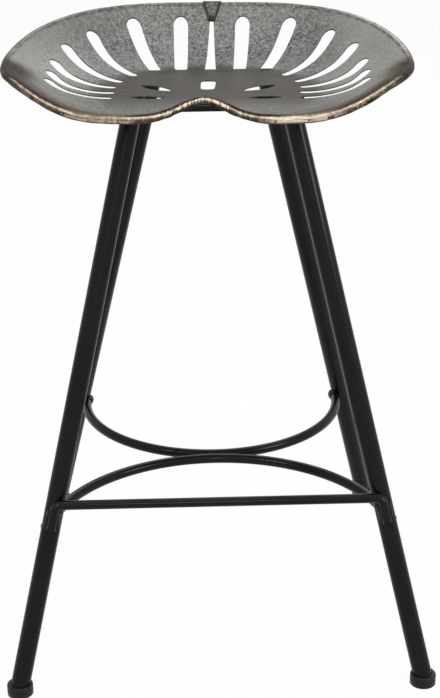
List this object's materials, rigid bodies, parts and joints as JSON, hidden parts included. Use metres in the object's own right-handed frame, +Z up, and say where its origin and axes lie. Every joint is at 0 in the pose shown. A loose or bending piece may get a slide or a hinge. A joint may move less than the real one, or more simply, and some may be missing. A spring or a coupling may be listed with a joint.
{
  "type": "tractor seat stool",
  "caption": "Counter stool with a slotted dished metal seat on splayed tube legs, a front foot rail and back-to-back arc stretchers.",
  "frame": {"origin": "on the floor, midway between the four feet", "axes": "+X to the sitter's left, seen from the front to the right; +Y to the back of the seat; +Z up; the hump and foot rail face -Y"},
  "size_m": [0.455, 0.4584, 0.6606],
  "materials": {
    "frame_black": "satin black paint",
    "seat_steel": "mottled grey steel with brown patina",
    "rim_bronze": "hammered aged bronze",
    "weld_steel": "rough painted weld",
    "cap_rubber": "satin black rubber"
  },
  "bodies": {
    "root": {"leg_front_left": "frame_black", "leg_front_right": "frame_black", "leg_rear_left": "frame_black", "leg_rear_right": "frame_black", "foot_cap_front_left": "cap_rubber", "foot_cap_front_right": "cap_rubber", "foot_cap_rear_left": "cap_rubber", "foot_cap_rear_right": "cap_rubber", "front_foot_rail": "frame_black", "front_arc_stretcher": "frame_black", "rear_arc_stretcher": "frame_black", "front_seat_bar": "frame_black", "rear_seat_bar": "frame_black", "foot_rail_weld_left": "weld_steel", "foot_rail_weld_right": "weld_steel", "front_arc_welds": "weld_steel", "rear_arc_welds": "weld_steel", "arc_centre_weld": "weld_steel", "front_bar_welds": "weld_steel", "rear_bar_welds": "weld_steel", "seat_mount_welds": "weld_steel", "seat_pan": "seat_steel", "seat_rim": "rim_bronze", "back_gusset": "seat_steel", "gusset_weld": "weld_steel"}
  },
  "joints": []
}
